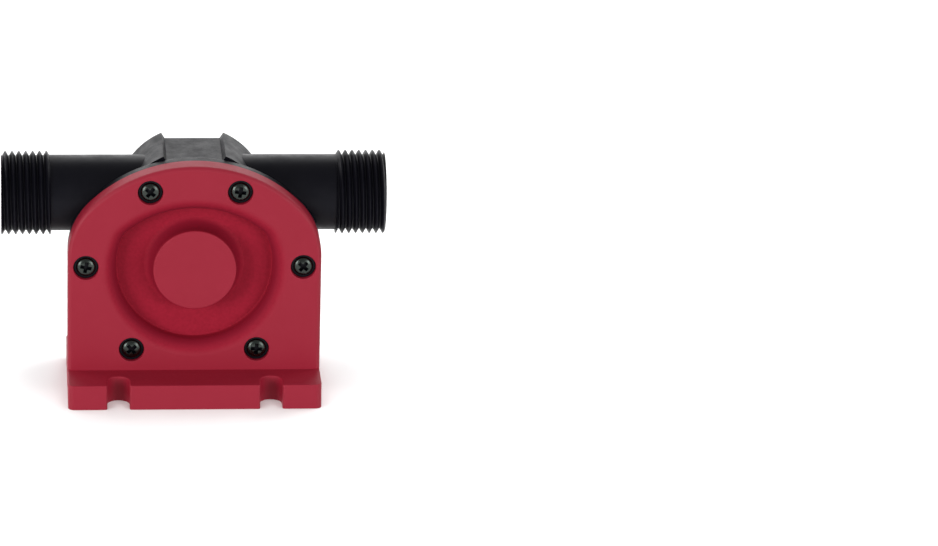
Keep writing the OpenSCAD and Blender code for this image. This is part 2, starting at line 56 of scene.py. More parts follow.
def placeCamera():
    data = bpy.data.cameras.new("camera")
    camera = bpy.data.objects.new("camera", data)
    bpy.context.scene.collection.objects.link(camera)
    bpy.context.scene.camera = camera
    data.sensor_width, data.lens = view["sensor"], view["lens"]
    data.clip_start, data.clip_end = metres(view["near"], view["far"])
    azimuth, elevation = math.radians(view["azimuth"]), math.radians(view["elevation"])
    roll, yaw = math.radians(view["roll"]), math.radians(view["yaw"])
    back = Vector((
        math.sin(azimuth) * math.cos(elevation),
        -math.cos(azimuth) * math.cos(elevation),
        math.sin(elevation),
    ))
    right = Vector((0, 0, 1)).cross(back).normalized()
    up = back.cross(right)
    rolledRight = right * math.cos(roll) + up * math.sin(roll)
    rolledUp = up * math.cos(roll) - right * math.sin(roll)
    forward = rolledRight * math.sin(yaw) - back * math.cos(yaw)
    side = rolledRight * math.cos(yaw) + back * math.sin(yaw)
    turn = Matrix((side, rolledUp, -forward)).transposed()
    place = Vector(metres(*view["look"])) + back * view["distance"] * mm
    camera.matrix_world = Matrix.Translation(place) @ turn.to_4x4()


placeCamera()
bpy.context.scene.view_settings.view_transform = "Standard"
print("camera placed")


# Modelling helpers. Pieces are modelled in mm, where the operators' own tolerances are small,
# and finishSurface brings each one to metres.

def onlyDeselect():
    if bpy.context.object and bpy.context.object.mode != "OBJECT":
        bpy.ops.object.mode_set(mode="OBJECT")
    bpy.ops.object.select_all(action="DESELECT")


def onlySelect(piece):
    onlyDeselect()
    piece.select_set(True)
    bpy.context.view_layer.objects.active = piece


def takeNew(name):
    # the primitive just added, with its place in its mesh
    piece = bpy.context.object
    piece.name = piece.data.name = name
    bpy.ops.object.transform_apply(location=True, rotation=True, scale=True)
    return piece


def startOutline(name, x, y, z):
    # a tiny plane is merged to one corner point, which is then drawn out
    onlyDeselect()
    bpy.ops.mesh.primitive_plane_add(size=1, location=(x, y, z))
    piece = takeNew(name)
    bpy.ops.object.mode_set(mode="EDIT")
    bpy.ops.mesh.select_mode(type="VERT")
    bpy.ops.mesh.select_all(action="SELECT")
    bpy.ops.mesh.merge(type="CENTER")
    return piece


def lineBy(dx, dy, dz):
    bpy.ops.mesh.extrude_vertices_move(TRANSFORM_OT_translate={"value": (dx, dy, dz)})


def arcAbout(centre, degrees, steps, axis=(0, -1, 0)):
    # clockwise from the front for a positive angle
    bpy.ops.mesh.spin(steps=steps, angle=math.radians(degrees), center=centre,
                      axis=axis, use_auto_merge=False)


def mergeAll():
    bpy.ops.mesh.select_all(action="SELECT")
    bpy.ops.mesh.remove_doubles(threshold=0.001)


def fillOutline():
    mergeAll()
    bpy.ops.mesh.edge_face_add()


def faceOutwards():
    bpy.ops.mesh.select_all(action="SELECT")
    bpy.ops.mesh.normals_make_consistent(inside=False)


def pullBack(depth):
    # the filled outline becomes a solid, and its new end face stays selected
    bpy.ops.mesh.select_mode(type="FACE")
    bpy.ops.mesh.extrude_region_move(TRANSFORM_OT_translate={"value": (0, depth, 0)})
    faceOutwards()
    bpy.ops.mesh.select_all(action="DESELECT")
    mesh = bmesh.from_edit_mesh(bpy.context.object.data)
    end = max(mesh.faces, key=lambda face: face.calc_center_median().y * (1 if depth > 0 else -1))
    end.select_set(True)
    bmesh.update_edit_mesh(bpy.context.object.data)


def stepFace(inwards, outwards):
    bpy.ops.mesh.inset(thickness=inwards, depth=outwards,
                       use_boundary=True, use_even_offset=True)


def roundOver(radius, steps):
    # a convex rounded edge: the selected face first rises, then closes in
    for i in range(steps):
        a, b = (math.pi / 2 * (i + k) / steps for k in (0, 1))
        stepFace(radius * (math.cos(a) - math.cos(b)), radius * (math.sin(b) - math.sin(a)))


def flareOut(radius, steps):
    # a hollow rounded foot: the selected face first closes in, then rises
    for i in range(steps):
        a, b = (math.pi / 2 * (i + k) / steps for k in (0, 1))
        stepFace(radius * (math.sin(b) - math.sin(a)), radius * (math.cos(a) - math.cos(b)))


def riseBy(height):
    bpy.ops.mesh.extrude_region_shrink_fatten(TRANSFORM_OT_shrink_fatten={"value": height})


def quarter(steps, first=0):
    # the angles along a quarter round in a profile
    return [math.pi / 2 / steps * i for i in range(first, steps + 1)]


def turnProfile(name, points, centre, axis, steps):
    # a profile of corner points in the axis's plane, turned all the way round
    piece = startOutline(name, *points[0])
    for a, b in zip(points, points[1:]):
        lineBy(*(q - p for p, q in zip(a, b)))
    bpy.ops.mesh.select_all(action="SELECT")
    bpy.ops.mesh.spin(steps=steps, angle=2 * math.pi, center=centre, axis=axis,
                      use_auto_merge=False)
    mergeAll()
    faceOutwards()
    bpy.ops.object.mode_set(mode="OBJECT")
    return piece


def addRod(name, radius, start, end, steps=64):
    # a cylinder between two points
    start, end = Vector(start), Vector(end)
    onlyDeselect()
    bpy.ops.mesh.primitive_cylinder_add(
        vertices=steps, radius=radius, depth=(end - start).length,
        location=(start + end) / 2, rotation=(end - start).to_track_quat("Z", "X").to_euler())
    return takeNew(name)


def addBlock(name, low, high):
    # a block between its lowest and its highest corner
    low, high = Vector(low), Vector(high)
    onlyDeselect()
    bpy.ops.mesh.primitive_cube_add(size=1, location=(low + high) / 2, scale=high - low)
    return takeNew(name)


def bevelEdges(piece, chosen, width, cuts):
    # chosen tells from an edge and its two ends whether it is taken
    onlySelect(piece)
    bpy.ops.object.mode_set(mode="EDIT")
    bpy.ops.mesh.select_mode(type="EDGE")
    bpy.ops.mesh.select_all(action="DESELECT")
    mesh = bmesh.from_edit_mesh(piece.data)
    for edge in mesh.edges:
        a, b = (vertex.co for vertex in edge.verts)
        if chosen(a, b, edge):
            edge.select_set(True)
    bmesh.update_edit_mesh(piece.data)
    bpy.ops.mesh.bevel(offset=width, segments=cuts, affect="EDGES",
                       clamp_overlap=False, loop_slide=False)
    bpy.ops.object.mode_set(mode="OBJECT")


def combine(piece, tools, how):
    # tools that don't touch each other are joined, and act as one
    onlySelect(tools[0])
    for tool in tools[1:]:
        tool.select_set(True)
    if len(tools) > 1:
        bpy.ops.object.join()
    tool, mesh = tools[0], tools[0].data
    onlySelect(piece)
    change = piece.modifiers.new("combine", "BOOLEAN")
    change.operation, change.solver, change.object = how, "EXACT", tool
    bpy.ops.object.modifier_apply(modifier=change.name)
    bpy.data.objects.remove(tool, do_unlink=True)
    bpy.data.meshes.remove(mesh)


def cutOut(piece, *tools):
    combine(piece, tools, "DIFFERENCE")


def mergeIn(piece, *tools):
    combine(piece, tools, "UNION")


def finishSurface(piece, angle=32):
    # slivers go, slits are closed, mm become metres, and edges sharper than the angle stay sharp
    onlySelect(piece)
    bpy.ops.object.mode_set(mode="EDIT")
    bpy.ops.mesh.select_all(action="SELECT")
    bpy.ops.mesh.dissolve_degenerate(threshold=0.0005)
    bpy.ops.mesh.fill_holes(sides=8)
    bpy.ops.object.mode_set(mode="OBJECT")
    piece.scale = (mm, mm, mm)
    bpy.ops.object.transform_apply(location=True, rotation=True, scale=True)
    bpy.ops.object.shade_smooth_by_angle(angle=math.radians(angle))
    change = piece.modifiers.new("evenShading", "WEIGHTED_NORMAL")
    change.keep_sharp = True
    bpy.ops.object.modifier_apply(modifier=change.name)


def copyPiece(piece, name):
    twin = bpy.data.objects.new(name, piece.data.copy())
    twin.data.name = name
    bpy.context.scene.collection.objects.link(twin)
    return twin


# Sizes shared by the cover and the casing, and how finely round shapes are drawn
body = {
    "halfWidth": 40.8, "axisHeight": 42.9, "archRadius": 47.7, "archMiddle": 30.3,
    "shoulderRadius": 24, "chamberRadius": 28.2, "chamberTop": 22.8, "chamberCorner": 7,
    "coverBack": 6.6, "chamberFront": 10, "chamberBack": 27, "footHeight": 8.3,
    "screws": [(-14.4, 26.5), (14.4, 26.5), (34.95, 0.9),
               (20.2, -27.5), (-20.2, -27.5), (-34.95, 0.9)],  # across and up from the shaft
    "arcSteps": 60, "cornerSteps": 10, "roundSteps": 120, "largeSteps": 96, "smallSteps": 48,
}


def traceArch(name, y, bottom):
    # up the left side, over the arched top and down the right side
    shoulder = body["halfWidth"] - body["shoulderRadius"]
    rise = math.sqrt((body["archRadius"] - body["shoulderRadius"]) ** 2 - shoulder ** 2)
    turn = math.degrees(math.atan2(rise, shoulder))
    side = body["archMiddle"] + rise - bottom
    piece = startOutline(name, -body["halfWidth"], y, bottom)
    lineBy(0, 0, side)
    arcAbout((-shoulder, y, bottom + side), turn, body["cornerSteps"])
    arcAbout((0, y, body["archMiddle"]), 180 - 2 * turn, body["arcSteps"])
    arcAbout((shoulder, y, bottom + side), turn, body["cornerSteps"])
    lineBy(0, 0, -side)
    fillOutline()
    return piece


def traceChamber(name, y, out):
    # the pump chamber, wider by out: a circle round the shaft with a flat top and round corners
    axis, radius = body["axisHeight"], body["chamberRadius"] + out
    top, corner = body["chamberTop"] + out, body["chamberCorner"] + out
    up = top - corner
    side = math.sqrt((radius - corner) ** 2 - up ** 2)
    turn = math.degrees(math.atan2(up, side))
    piece = startOutline(name, -side, y, axis + top)
    lineBy(2 * side, 0, 0)
    arcAbout((side, y, axis + up), 90 - turn, body["cornerSteps"])
    arcAbout((0, y, axis), 180 + 2 * turn, body["roundSteps"])
    arcAbout((-side, y, axis + up), 90 - turn, body["cornerSteps"])
    fillOutline()
    return piece


# Front cover with its foot: one moulding in matt red
cover = {
    "edgeRadius": 1.4, "edgeSteps": 6, "plugGap": 0.15, "bushRadius": 6.52, "bushFront": 3.2,
    "recessDepth": 7, "recessRadius": 25.3, "recessTop": 19.9, "recessCorner": 5, "topRadius": 34,
    "rollRadius": 4.8, "rollSteps": 10, "floorFillet": 0.5, "filletSteps": 3,
    "hubRadius": 13.4, "hubEdge": 0.4, "hubEdgeSteps": 4, "hubRoot": 2,
    "coveWidth": 3, "coveDepth": 5.6, "coveSteps": 12, "skirtWidth": 0.3, "skirtSink": 0.02,
    "sinkRadius": 4.05, "sinkDepth": 2.6, "sinkFlare": 0.3, "screwHole": 2,
    "footFront": 13.4, "footBack": 32, "footCorner": 2, "footCornerCuts": 6, "footEdge": 0.35,
    "slotWidth": 7.2, "slotLength": 8, "slotSpacing": 49.2, "slotSteps": 24, "slotEdge": 0.7,
    "edgeCuts": 3, "sharpAngle": 60,
    # the two ramps after fadeDepth set where painted shade on the slopes rises from the rim and
    # fades out above the recess's floor
    "fadeDepth": 0.4, "shadeFromRim": 2, "shadeAboveFloor": 1.2, "fadeMargin": 0.1,
}


def traceRecess(name, y, out):
    # a circle round the shaft's axis whose top is a flatter arc, with rounded corners between
    axis, drop = body["axisHeight"], cover["topRadius"] - cover["recessTop"]
    inner = cover["recessRadius"] - cover["recessCorner"]
    outer = cover["topRadius"] - cover["recessCorner"]
    up = (outer ** 2 - inner ** 2 - drop ** 2) / (2 * drop)
    side = math.sqrt(inner ** 2 - up ** 2)
    low, high = math.degrees(math.atan2(up, side)), math.degrees(math.atan2(up + drop, side))
    reach, turn = cover["topRadius"] + out, math.radians(high)
    piece = startOutline(name, -reach * math.cos(turn), y, axis - drop + reach * math.sin(turn))
    arcAbout((0, y, axis - drop), 180 - 2 * high, body["arcSteps"])
    arcAbout((side, y, axis + up), high - low, body["cornerSteps"])
    arcAbout((0, y, axis), 180 + 2 * low, body["roundSteps"])
    arcAbout((-side, y, axis + up), high - low, body["cornerSteps"])
    fillOutline()
    return piece


def makeRecess():
    # the face rolls down into the recess, and its wall meets the floor in a small fillet
    roll, fillet = cover["rollRadius"], cover["floorFillet"]
    tool = traceRecess("recess", -overrun, roll)
    pullBack(overrun)
    flareOut(roll, cover["rollSteps"])
    riseBy(cover["recessDepth"] - roll - fillet)
    roundOver(fillet, cover["filletSteps"])
    bpy.ops.object.mode_set(mode="OBJECT")
    return tool


def makeHub():
    # a flat front with an eased edge, a hollow foot, and a root below the recess's floor
    z, r, e = body["axisHeight"], cover["hubRadius"], cover["hubEdge"]
    depth, wide, deep = cover["recessDepth"], cover["coveWidth"], cover["coveDepth"]
    skirt, root = r + wide + cover["skirtWidth"], depth + cover["hubRoot"]
    points = [(0, 0, z), (r - e, 0, z)]
    points += [(r - e + e * math.sin(t), e - e * math.cos(t), z)
               for t in quarter(cover["hubEdgeSteps"], 1)]
    points += [(r + wide - wide * math.cos(t), depth - deep + deep * math.sin(t), z)
               for t in quarter(cover["coveSteps"])]
    points += [(skirt, depth + cover["skirtSink"], z), (skirt, root, z), (0, root, z)]
    return turnProfile("hub", points, (0, 0, z), (0, 1, 0), body["largeSteps"])


def makeSink(x, z):
    # a flat-bottomed round sink whose mouth is eased, with the screw's hole behind it
    r, f, hole = cover["sinkRadius"], cover["sinkFlare"], cover["screwHole"]
    bottom, back = cover["sinkDepth"], body["chamberFront"] + overrun
    points = [(x, -overrun, z), (x + r + f, -overrun, z), (x + r + f, -hair, z),
              (x + r + f / 3, f / 3, z), (x + r, f, z), (x + r, bottom, z), (x + hole, bottom, z),
              (x + hole, back, z), (x, back, z)]
    return turnProfile("sink", points, (x, 0, z), (0, 1, 0), body["smallSteps"])


def makeSlot(x):
    # an open slot with a round end, cut through the foot
    half, y = cover["slotWidth"] / 2, -cover["footFront"]
    straight = cover["slotLength"] - half
    tool = startOutline("slot", x - half, y - 2 * overrun, -overrun)
    lineBy(0, 2 * overrun + straight, 0)
    arcAbout((x, y + straight, -overrun), 180, cover["slotSteps"], axis=(0, 0, 1))
    lineBy(0, -2 * overrun - straight, 0)
    fillOutline()
    bpy.ops.mesh.select_mode(type="FACE")
    bpy.ops.mesh.extrude_region_move(
        TRANSFORM_OT_translate={"value": (0, 0, body["footHeight"] + 2 * overrun)})
    faceOutwards()
    bpy.ops.object.mode_set(mode="OBJECT")
    return tool


def makeFoot():
    w, front, top = body["halfWidth"], cover["footFront"], body["footHeight"]

    def isUpright(a, b, edge):
        return abs(a.z - b.z) > top / 2

    def isSlotMouth(a, b, edge):
        inFront = abs(a.y + front) < hair and abs(b.y + front) < hair
        beside = abs(abs(a.x) - cover["slotSpacing"] / 2) < cover["slotWidth"] / 2 + hair
        return isUpright(a, b, edge) and inFront and beside

    def isTopRim(a, b, edge):
        level = abs(a.z - top) < hair and abs(b.z - top) < hair
        return level and edge.calc_face_angle(0) > math.radians(cover["sharpAngle"])

    foot = addBlock("foot", (-w, -front, 0), (w, cover["footBack"], top))
    bevelEdges(foot, isUpright, cover["footCorner"], cover["footCornerCuts"])
    cutOut(foot, *[makeSlot(side * cover["slotSpacing"] / 2) for side in (-1, 1)])
    bevelEdges(foot, isSlotMouth, cover["slotEdge"], cover["edgeCuts"])
    bevelEdges(foot, isTopRim, cover["footEdge"], cover["edgeCuts"])
    return foot


def makeCover():
    # the arched plate and the plug that closes the chamber, with the recess, hub, foot and sinks
    back, z = body["coverBack"], body["axisHeight"]
    piece = traceArch("front_cover_shell", back, body["footHeight"] / 2)
    pullBack(cover["edgeRadius"] - back)
    roundOver(cover["edgeRadius"], cover["edgeSteps"])
    bpy.ops.object.mode_set(mode="OBJECT")
    plug = traceChamber("plug", back - overrun, -cover["plugGap"])
    pullBack(body["chamberFront"] - back + overrun)
    bpy.ops.object.mode_set(mode="OBJECT")
    mergeIn(piece, plug)
    cutOut(piece, makeRecess())
    mergeIn(piece, makeHub())
    mergeIn(piece, makeFoot())
    pocket = addRod("bushPocket", cover["bushRadius"], (0, cover["bushFront"], z),
                    (0, body["chamberFront"] + overrun, z))
    cutOut(piece, pocket, *[makeSink(x, z + dz) for x, dz in body["screws"]])
    finishSurface(piece)
    return piece


def markSunk(piece):
    # sunk runs from 0 at the face to 1 down in the recess or in a screw's sink, and wall, the mask
    # of the painted shade, from 0 on the face and the recess's floor to 1 on the slopes and in the
    # sinks
    mark = piece.data.attributes.new("sunk", "FLOAT", "POINT")
    slope = piece.data.attributes.new("wall", "FLOAT", "POINT")
    recess = cover["recessRadius"] + cover["rollRadius"] + cover["fadeMargin"]
    sink = cover["sinkRadius"] + cover["fadeMargin"]
    for vertex, sunk, wall in zip(piece.data.vertices, mark.data, slope.data):
        x, y, z = vertex.co / mm
        z -= body["axisHeight"]
        inSink = any(math.hypot(x - u, z - w) < sink for u, w in body["screws"])
        if (math.hypot(x, z) < recess or inSink) and y < cover["recessDepth"] + hair:
            sunk.value = min(1, max(0, y / cover["fadeDepth"]))
            # wall is painted shade on the slopes: it rises from the rim and fades out above the
            # floor
            wall.value = min(1, max(0, y / cover["shadeFromRim"]),
                             max(0, (cover["recessDepth"] - y) / cover["shadeAboveFloor"]))


coverShell = makeCover()
markSunk(coverShell)
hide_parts("front_cover")
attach(coverShell, "housing")
print("cover modelled", len(coverShell.data.polygons), "faces")


# Casing: flange, round pump casing, hump over the ports, bosses, ribs and bearing hub
casing = {
    "flangeBack": 10.4, "flangeEdge": 1, "flangeGap": 0.05, "edgeSteps": 4, "wall": 3,
    "drumBack": 30, "drumEdge": 2, "drumEdgeSteps": 6, "drumFillet": 1.5, "drumFilletSteps": 5,
    "humpRadius": 24.4, "humpMiddle": 55.8, "humpLow": 48.75, "humpFront": 10.35,
    "humpBack": 33.9, "humpEdge": 0.8, "humpSteps": 28,
    "saddleHeight": 76.15, "saddleHalf": 8.9, "tipX": 10.04, "tipHeight": 78.03,
    "pipeRadius": 12.25, "pipeDepth": 20.05, "pipeHeight": 62.3, "bridge": 11, "joint": 30.9,
    "portRadius": 9.8, "spigotRadius": 11.1, "spigotLength": 3,
    "bossRadius": 4, "bossBack": 15.4, "bossEdge": 0.8, "bossFillet": 1, "bossSink": 0.1,
    "hubRadius": 13, "hubBack": 44.8, "hubFillet": 1.5, "hubFilletSteps": 6, "hubRoot": 2,
    "hubSkirt": 0.02, "hubChamfer": 0.6,
    "sealRadius": 9.02, "sealBack": 33.3, "bushRadius": 6.52, "sealGroove": 1.35,
    "screwBore": 1.62, "screwBottom": 12.5, "boreSteps": 24,
    "ribs": 5, "ribMiddle": 90, "ribSpan": 140, "ribThickness": 2.4, "ribHeight": 3.2,
    "ribSink": 0.3, "ribEdge": 0.5, "ribCuts": 3,
}


def makeHump():
    # a round drum over the ports, cut down to a flat saddle, which leaves a horn on either side
    r, middle, low = casing["humpRadius"], casing["humpMiddle"], casing["humpLow"]
    y, tipX, tipZ = casing["humpFront"], casing["tipX"], casing["tipHeight"]
    reach = math.sqrt(r ** 2 - (low - middle) ** 2)
    below = math.degrees(math.atan2(middle - low, reach))
    sweep = 180 + below - math.degrees(math.atan2(tipZ - middle, -tipX))
    slope, drop = tipX - casing["saddleHalf"], tipZ - casing["saddleHeight"]
    hump = startOutline("hump", -reach, y, low)
    arcAbout((0, y, middle), sweep, casing["humpSteps"])
    lineBy(slope, 0, -drop)
    lineBy(2 * casing["saddleHalf"], 0, 0)
    lineBy(slope, 0, drop)
    arcAbout((0, y, middle), sweep, casing["humpSteps"])
    fillOutline()
    pullBack(casing["humpBack"] - casing["humpEdge"] - y)
    roundOver(casing["humpEdge"], casing["edgeSteps"])
    bpy.ops.object.mode_set(mode="OBJECT")
    return hump


def makeBoss(x, z):
    # a screw's boss behind the flange, with a fillet at its foot and a rounded end
    r, e, f = casing["bossRadius"], casing["bossEdge"], casing["bossFillet"]
    front, base, back = body["coverBack"], casing["flangeBack"], casing["bossBack"]
    points = [(x, front, z), (x + r, front, z), (x + r, base - casing["bossSink"], z),
              (x + r + f, base - casing["bossSink"], z)]
    points += [(x + r + f - f * math.sin(t), base + f - f * math.cos(t), z)
               for t in quarter(casing["edgeSteps"])]
    points += [(x + r - e + e * math.cos(t), back - e + e * math.sin(t), z)
               for t in quarter(casing["edgeSteps"])]
    points += [(x, back, z)]
    return turnProfile("boss", points, (x, 0, z), (0, 1, 0), body["smallSteps"])


def makeBearingHub():
    # the round hub that carries the rear bush, with a fillet at its foot and a chamfered end
    z, r, f = body["axisHeight"], casing["hubRadius"], casing["hubFillet"]
    base, back, chamfer = casing["drumBack"], casing["hubBack"], casing["hubChamfer"]
    root = base - casing["hubRoot"]
    points = [(0, root, z), (r + f, root, z), (r + f, base - casing["hubSkirt"], z)]
    points += [(r + f - f * math.sin(t), base + f - f * math.cos(t), z)
               for t in quarter(casing["hubFilletSteps"])]
    points += [(r, back - chamfer, z), (r - chamfer, back, z), (0, back, z)]
    return turnProfile("bearingHub", points, (0, 0, z), (0, 1, 0), body["largeSteps"])


def makeRib(angle):
    # a radial rib whose top edges are eased
    start, end = casing["hubRadius"] - overrun, body["chamberRadius"]
    half, base = casing["ribThickness"] / 2, casing["drumBack"]
    top = base + casing["ribHeight"]

    def isTopEdge(a, b, edge):
        return abs(a.y - top) < hair and abs(b.y - top) < hair

    rib = addBlock("rib", (start, base - casing["ribSink"], -half), (end, top, half))
    bevelEdges(rib, isTopEdge, casing["ribEdge"], casing["ribCuts"])
    rib.data.transform(Matrix.Translation((0, 0, body["axisHeight"]))
                       @ Matrix.Rotation(math.radians(angle), 4, "Y"))
    return rib


def makeHubBore():
    # the seal's seat and behind it the bush's
    z, front, back = body["axisHeight"], body["chamberBack"] - overrun, casing["hubBack"] + overrun
    seal, bush, seat = casing["sealRadius"], casing["bushRadius"], casing["sealBack"]
    points = [(0, front, z), (seal, front, z), (seal, seat, z), (bush, seat, z), (bush, back, z),
              (0, back, z)]
    return turnProfile("hubBore", points, (0, 0, z), (0, 1, 0), body["largeSteps"])


def makePort(side):
    # the port into the chamber, widened for the pipe's spigot
    y, z, mouth = casing["pipeDepth"], casing["pipeHeight"], side * (casing["joint"] + overrun)
    port, seat = casing["portRadius"], casing["spigotRadius"]
    start, step = side * casing["bridge"], side * (casing["joint"] - casing["spigotLength"])
    points = [(start, y, z), (start, y, z + port), (step, y, z + port), (step, y, z + seat),
              (mouth, y, z + seat), (mouth, y, z)]
    return turnProfile("port", points, (0, y, z), (1, 0, 0), body["largeSteps"])


def makeChamber():
    # the seal's groove in the flange and the chamber behind it
    groove = casing["sealGroove"]
    tool = traceChamber("chamber", body["coverBack"] - overrun, groove)
    pullBack(overrun + groove)
    stepFace(groove, 0)
    riseBy(body["chamberBack"] - body["coverBack"] - groove)
    bpy.ops.object.mode_set(mode="OBJECT")
    return tool


def makeDrum():
    # the round part of the casing: a fillet at the flange and a rounded rear edge
    base, fillet, edge = casing["flangeBack"], casing["drumFillet"], casing["drumEdge"]
    drum = traceChamber("drum", base - overrun, casing["wall"] + fillet)
    pullBack(overrun)
    flareOut(fillet, casing["drumFilletSteps"])
    riseBy(casing["drumBack"] - edge - base - fillet)
    roundOver(edge, casing["drumEdgeSteps"])
    bpy.ops.object.mode_set(mode="OBJECT")
    return drum


def makeCasing():
    front, z = body["coverBack"], body["axisHeight"]
    piece = traceArch("pump_casing_shell", front, body["footHeight"] + casing["flangeGap"])
    pullBack(casing["flangeBack"] - casing["flangeEdge"] - front)
    roundOver(casing["flangeEdge"], casing["edgeSteps"])
    bpy.ops.object.mode_set(mode="OBJECT")
    mergeIn(piece, makeDrum())
    mergeIn(piece, makeHump())
    deep, high = casing["pipeDepth"], casing["pipeHeight"]
    mergeIn(piece, *[addRod("stub", casing["pipeRadius"], (side * casing["bridge"], deep, high),
                            (side * casing["joint"], deep, high), body["largeSteps"])
                     for side in (-1, 1)])
    mergeIn(piece, *[makeBoss(x, z + dz) for x, dz in body["screws"]])
    mergeIn(piece, makeBearingHub())
    turns = [casing["ribSpan"] * (i / (casing["ribs"] - 1) - 0.5) + casing["ribMiddle"]
             for i in range(casing["ribs"])]
    mergeIn(piece, *[makeRib(turn) for turn in turns])
    cutOut(piece, makeChamber())
    cutOut(piece, makeHubBore())
    cutOut(piece, *[makePort(side) for side in (-1, 1)])
    cutOut(piece, *[addRod("screwBore", casing["screwBore"], (x, front - overrun, z + dz),
                           (x, casing["screwBottom"], z + dz), casing["boreSteps"])
                    for x, dz in body["screws"]])
    finishSurface(piece)
    return piece


casingShell = makeCasing()
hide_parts("pump_casing")
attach(casingShell, "housing")
print("casing modelled", len(casingShell.data.polygons), "faces")


# Hose pipes with their garden hose thread, 11.5 turns to the inch
pipe = {
    "end": 62, "bore": 9.5, "root": 12.065, "depth": 1.43, "pitch": 2.209, "threadLength": 16,
    "turns": 10, "steps": 72, "easeAlong": 0.12, "easeDown": 0.16, "threadLap": 0.6,
    "spigotRadius": 11.05, "spigotGap": 0.05, "mouthEase": 0.5, "smoothAngle": 28,
}


def makeThread():
    # one turn's profile along X, wound round X, then cut off square at both ends
    p, root, crest = pipe["pitch"], pipe["root"], pipe["root"] + pipe["depth"]
    along, shoulder = pipe["easeAlong"], crest - pipe["easeDown"]
    land = p / 8  # the flats at the root and at the crest
    flank = (p - 2 * land) / 2
    start, end = pipe["end"] - pipe["threadLength"], pipe["end"]
    points = [(0, root), (land, root), (land + flank - along, shoulder), (land + flank, crest),
              (2 * land + flank, crest), (2 * land + flank + along, shoulder), (p, root)]
    piece = startOutline("thread", start - 2 * p, 0, root)
    for (x0, r0), (x1, r1) in zip(points, points[1:]):
        lineBy(x1 - x0, 0, r1 - r0)
    bpy.ops.object.mode_set(mode="OBJECT")
    winding = piece.modifiers.new("winding", "SCREW")
    winding.axis, winding.angle = "X", 2 * math.pi
    winding.screw_offset, winding.iterations = p, pipe["turns"]
    winding.steps = winding.render_steps = pipe["steps"]
    bpy.ops.object.modifier_apply(modifier=winding.name)
    bpy.ops.object.mode_set(mode="EDIT")
    mergeAll()
    bpy.ops.mesh.bisect(plane_co=(end, 0, 0), plane_no=(1, 0, 0),
                        use_fill=True, clear_outer=True)
    bpy.ops.mesh.select_all(action="SELECT")
    bpy.ops.mesh.bisect(plane_co=(start, 0, 0), plane_no=(1, 0, 0),
                        use_fill=True, clear_inner=True)
    faceOutwards()
    bpy.ops.object.mode_set(mode="OBJECT")
    return piece


def makePipe():
    # the thread, the plain pipe, its spigot in the casing, and the bore through all three
    piece = makeThread()
    r, ease, end, inner = pipe["bore"], pipe["mouthEase"], pipe["end"], casing["joint"]
    tail = inner - casing["spigotLength"]
    mergeIn(piece, addRod("plainPipe", casing["pipeRadius"], (inner, 0, 0),
                          (end - pipe["threadLength"] + pipe["threadLap"], 0, 0),
                          body["largeSteps"]))
    mergeIn(piece, addRod("spigot", pipe["spigotRadius"], (tail + pipe["spigotGap"], 0, 0),
                          (inner + overrun, 0, 0), body["largeSteps"]))
    points = [(tail - overrun, 0, 0), (tail - overrun, 0, r), (end - ease, 0, r),
              (end - ease / 3, 0, r + ease / 3), (end, 0, r + ease), (end + overrun, 0, r + ease),
              (end + overrun, 0, 0)]
    cutOut(piece, turnProfile("bore", points, (0, 0, 0), (1, 0, 0), body["largeSteps"]))
    return piece


outletPipe = makePipe()
inletPipe = copyPiece(outletPipe, "inlet_pipe_thread")
outletPipe.name = outletPipe.data.name = "outlet_pipe_thread"
pipePlace = Matrix.Translation((0, casing["pipeDepth"], casing["pipeHeight"]))
outletPipe.data.transform(pipePlace)
inletPipe.data.transform(pipePlace @ Matrix.Rotation(math.pi, 4, "Z"))
for piece, node in ((outletPipe, "outlet_pipe"), (inletPipe, "inlet_pipe")):
    finishSurface(piece, pipe["smoothAngle"])
    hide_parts(node)
    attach(piece, "housing")
print("pipes modelled", len(outletPipe.data.polygons), "faces each")


# Cover screws: pan heads with a cross recess, each on a dark washer
screw = {
    "dome": [(0, 0), (1.1, 0.03), (1.9, 0.14), (2.5, 0.36), (2.9, 0.66)],  # radius, fall
    "headRadius": 3.15, "headHeight": 2.4, "headBottom": 2.6, "headGap": 0.05, "headFoot": 0.02,
    "washerRadius": 3.95, "washerFront": 1.3, "washerEase": 0.15, "washerEdge": 0.1,
    "shankRadius": 1.6, "shankLength": 9.6, "tipChamfer": 0.8, "steps": 40, "smoothAngle": 35,
    "crossWidth": 1.4, "crossLength": 4.4, "crossDepth": 1.6, "crossTaper": (0.65, 1, 0.7),
    # faces in the cross deeper than crossShade, within shadeMargin of its arms' reach, get painted
    # shade
    "crossShade": 0.5, "shadeMargin": 0.1,
    "turns": [38, 8, 40, 5, 50, 12],  # how far round each head was driven, in degrees
}


